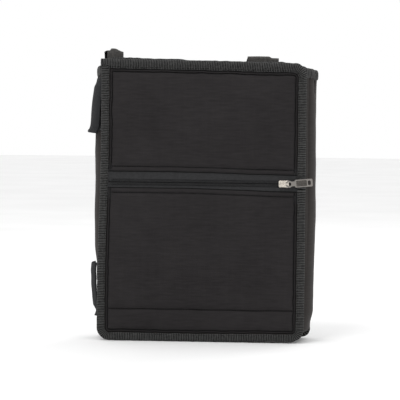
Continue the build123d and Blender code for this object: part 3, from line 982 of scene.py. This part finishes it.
def lining():
    """The pocket's inner wall, sewn round its edges to the backs of the front panels."""
    low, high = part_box("pocket_lining")
    edge = 0.012
    columns = dense_steps(low.x, high.x, [(low.x, low.x + edge), (high.x - edge, high.x)], 0.0015, 0.005)
    rows = dense_steps(low.z, high.z, [(low.z, low.z + edge), (high.z - edge, high.z)], 0.0015, 0.005)

    def slack(z, x):
        inside = min(x - low.x, high.x - x, z - low.z, high.z - z)
        sag = curve([(0.0, 0), (0.004, 0.0006), (0.012, 0.0016), (0.05, 0.0020)], inside)
        return sag + 0.0005 * wander(x, 0, z, 0.045, 2.5) * curve([(0.002, 0), (0.03, 1)], inside)

    sides = [grid(rows, columns, lambda z, x: (x, low.y + slack(z, x) + depth, z)) for depth in (0.0, 0.0007)]
    cloth = slab("lining_pocket", *sides)
    finish_piece(cloth, LINING_CLOTH, "front", ["pocket_lining"])
    inset = 0.004
    left, right, bottom, top = low.x + inset, high.x - inset, low.z + inset, high.z - inset
    corners = ((left, top), (left, bottom), (right, bottom), (right, top), (low.x + 0.006, top))
    row = [(x, low.y + 0.0019, z) for x, z in corners]
    thread = stitch_row("stitches_lining", row, (0, 1, 0), 0.0034, 0.0014)
    finish_piece(thread, THREAD_AND_PAINTED_SHADE, "front")


lining()


def seam_stitches():
    """The rows of stitching that show on the panels and the tapes."""
    rows = {"hem_upper": (ZIP_HIGH + 0.0074, ZIP_HIGH, PANEL_HIGH, True, False, False, 1.0),
            "hem_lower": (ZIP_LOW - 0.0074, FLANGE, ZIP_LOW, False, True, True, 2.0),
            "pocket": (POCKET_SEAM, FLANGE, ZIP_LOW, False, True, True, 2.0)}
    for word, (z, low, high, hem_low, hem_high, pocket, seed) in rows.items():
        path = []
        for x in steps(-SEAM + 0.004, SEAM - 0.004, 0.003):
            here = z + (wander(x, 0, 1, 0.05) * 0.0006 if word == "pocket" else 0)
            height = panel_face(x, here, low, high, hem_low, hem_high, pocket, seed)
            path.append((FRONT_MID + x, -(PLANE + height), here))
        thread = stitch_row(f"stitches_{word}", path, (0, -1, 0))
        finish_piece(thread, THREAD_AND_PAINTED_SHADE, "front")
    for side, body, word in ((-1, "front", "front"), (1, "shell", "back")):
        mid = FRONT_MID if side < 0 else BACK_MID
        for rails, part, height in ((seam_rails(TOP - 0.016, TOP - 0.050, side), "binding", 0.0030),
                                    (mouth_rails(TOP - 0.040), "mouth", 0.0025)):
            path = []
            for (x0, z0), (x1, z1) in zip(*rails):
                x, z = x0 + (x1 - x0) * 0.84, z0 + (z1 - z0) * 0.84
                path.append((mid + x, side * (LAYER + height), z))
            thread = stitch_row(f"stitches_{part}_{word}", path, (0, side, 0))
            finish_piece(thread, THREAD_AND_PAINTED_SHADE, body)


seam_stitches()


def groove_line(low, high, inset):
    """Rows of points at a depth inside the seams round a panel, each one with its inward direction."""
    size = 0.002
    around, bend = FLANGE + inset, SEAM - PANEL_CORNER
    legs = outline(around, high, high, size)
    if high != PANEL_HIGH:
        return [legs]
    top = [((x, high - inset), (0, -1)) for x in steps(around - HALF, bend, size)]
    for angle in steps(0.1, 1.5, 0.2):
        away = (math.sin(angle), math.cos(angle))
        reach = PANEL_CORNER - inset
        top.append(((bend + reach * away[0], high - PANEL_CORNER + reach * away[1]), (-away[0], -away[1])))
    if low == FLANGE:
        return [[item for item in legs if item[0][1] < high - PANEL_CORNER], top]
    left = [((around - HALF, z), (1, 0)) for z in steps(low + size, high - inset, size)]
    right = [((HALF - around, z), (-1, 0)) for z in steps(high - PANEL_CORNER, low + size, size)]
    return [left, top + right]


def groove_threads_and_painted_shade():
    """Dark strands in the grooves beside the bindings, partly thread and partly painted shade; the strands
    along the folds at the zip, along the mouth tape's lower edge over the left binding and in the right
    wall's crease are painted shade, dark lines where only shadow falls.
    """
    for word, side, body, low, high, seed in (("upper", -1, "front", ZIP_HIGH, PANEL_HIGH, 1.0),
                                              ("lower", -1, "front", FLANGE, ZIP_LOW, 2.0),
                                              ("back", 1, "shell", FLANGE, PANEL_HIGH, 3.0)):
        mid = FRONT_MID if side < 0 else BACK_MID
        # Thread lying in each groove, dark and thick enough to paint the groove's shade as well.
        for number, inset, radius in (("outer", 0.0009, 0.00055), ("inner", 0.0046, 0.00065)):
            tubes = []
            for line in groove_line(low, high, inset):
                path = []
                for (x, z), inward in line:
                    drift = GROOVE_DRIFT * wander(x, 1, z, 0.016, seed)
                    path.append((mid + x - inward[0] * drift, side * (PLANE + 0.0006), z - inward[1] * drift))
                tubes.append(tube_mesh(path, radius, 6, 0.8, Vector((0, side, 0))))
            finish_piece(joined(f"groove_{number}_{word}", tubes), THREAD_AND_PAINTED_SHADE, body)
    # Painted shade: dark strands in the folds where the hems meet the zip, and along the mouth tape's lower
    # edge over the left binding.
    painted_fold_shade_lines = {"upper": (ZIP_HIGH - 0.0003, -SEAM, SEAM, 0.0012),
             "lower": (ZIP_LOW + 0.0003, -SEAM, SEAM, 0.0012),
             "corner": (PANEL_HIGH - 0.0004, -HALF + 0.0008, -SEAM, 0.0034)}
    for word, (z, start, end, height) in painted_fold_shade_lines.items():
        path = [(FRONT_MID + x, -(PLANE + height), z) for x in steps(start, end, 0.003)]
        painted_fold_shade = joined(f"fold_{word}", [tube_mesh(path, 0.00065, 6, 0.8)])
        finish_piece(painted_fold_shade, THREAD_AND_PAINTED_SHADE, "front")
    # Painted shade: a dark strand down the pinched crease at the right wall's mouth.
    path = []
    for z in steps(TOP - 0.048, TOP - 0.012, 0.002):
        here, out = wall_frame(1, PINCH, z)
        path.append(here + out * 0.0024 * curve([(TOP - 0.029, 0), (TOP - 0.026, 1)], z))
    painted_crease_shade = joined("crease_right", [tube_mesh(path, 0.0008, 6, 0.8, Vector((1, 0, 0)))])
    finish_piece(painted_crease_shade, THREAD_AND_PAINTED_SHADE, between=BEND)


groove_threads_and_painted_shade()


def straps():
    """The two side straps with their hook and loop pads."""
    facts = {
        "upper": (0.176, 0.0005, (-55, 13), (0.4165, 0.324), 0.412, 5.2,
                  [(0, -0.0036), (0.008, -0.0022), (0.020, 0.0010), (0.040, 0.0020), (0.075, 0.0011),
                   (0.090, 0.0036)]),
        "lower": (0.166, 0.0009, (-38, 20), (0.036, 0.1205), 0.044, -6.5,
                  [(0, 0.0016), (0.010, 0.0052), (0.035, 0.0050), (0.060, 0.0032), (0.080, 0.0008)]),
    }
    pads = {"upper": ((-40, 0), (0.330, 0.354), -0.0009), "lower": ((-26, 8), (0.094, 0.116), -0.0005)}
    for word, (half, gap, arc, (sewn, free), hinge, flare, bend) in facts.items():
        down = -1 if free < sewn else 1
        heights = [sewn + down * v for v in dense_steps(0, abs(free - sewn), [(abs(free - sewn) - 0.006, 9)],
                                                        0.0006, 0.0018)]
        angles = steps(*arc, 1.6)
        face, back = strap_grid(half, gap, 0.002, angles, heights, hinge, flare, bend)
        for i, z in enumerate(heights):
            end = abs(z - free)
            hem = 0.0011 * curve([(0.0040, 1), (0.0052, 0)], end) if word == "upper" else 0
            hem -= 0.0008 * curve([(0.0, 1), (0.0016, 0)], end)
            for j, point in enumerate(face[i]):
                selvedge = min(j, len(angles) - 1 - j)
                ribs = 0.00007 * math.sin(j * 2.1)
                outward = (point - back[i][j]).normalized()
                face[i][j] = point + outward * (hem + ribs - (0.0005 if selvedge == 0 else 0))
        if word == "upper":
            face, back = face[::-1], back[::-1]
        band = slab(f"strap_{word}", face, back)
        body = f"strap_{word}"
        fixed, loose = ((0, 0, hinge + 0.001), (0, 0, hinge - 0.007)) if down < 0 else \
            ((0, 0, hinge - 0.002), (0, 0, hinge + 0.006))
        finish_piece(band, WEBBING, nodes=[f"side_strap_{word}"],
                     between=("shell", body, fixed, loose))
        pad_arc, (low, high), pad_gap = pads[word]
        face, back = strap_grid(half, pad_gap, 0.0014, steps(*pad_arc, 1.6), steps(low, high, 0.0016), hinge,
                                flare, bend)
        pad = slab(f"pad_hook_{word}", face, back)
        finish_piece(pad, HOOK_PILE, body, [f"hook_pad_{word}"])
        shares = (0.10, 0.50) if word == "upper" else (0.14, 0.60)
        low, high = (0.328, 0.356) if word == "upper" else (0.092, 0.118)
        sides = []
        for away in (0.0014, -0.0006):
            frames = grid(steps(low, high, 0.0016), steps(*shares, 0.02),
                          lambda z, share: wall_frame(-1, share, z))
            sides.append([[here + out * away for here, out in row] for row in frames])
        pad = slab(f"pad_loop_{word}", *sides)
        finish_piece(pad, LOOP_PILE, nodes=[f"loop_pad_{word}"], between=BEND)


straps()

# the slider and its pull keep their CAD shapes
for name, surface in (("slider_body", SLIDER_METAL), ("slider_bail", SLIDER_METAL), ("pull_tab", PULL_METAL)):
    for place in bpy.data.objects[name].material_slots:
        place.material = surface
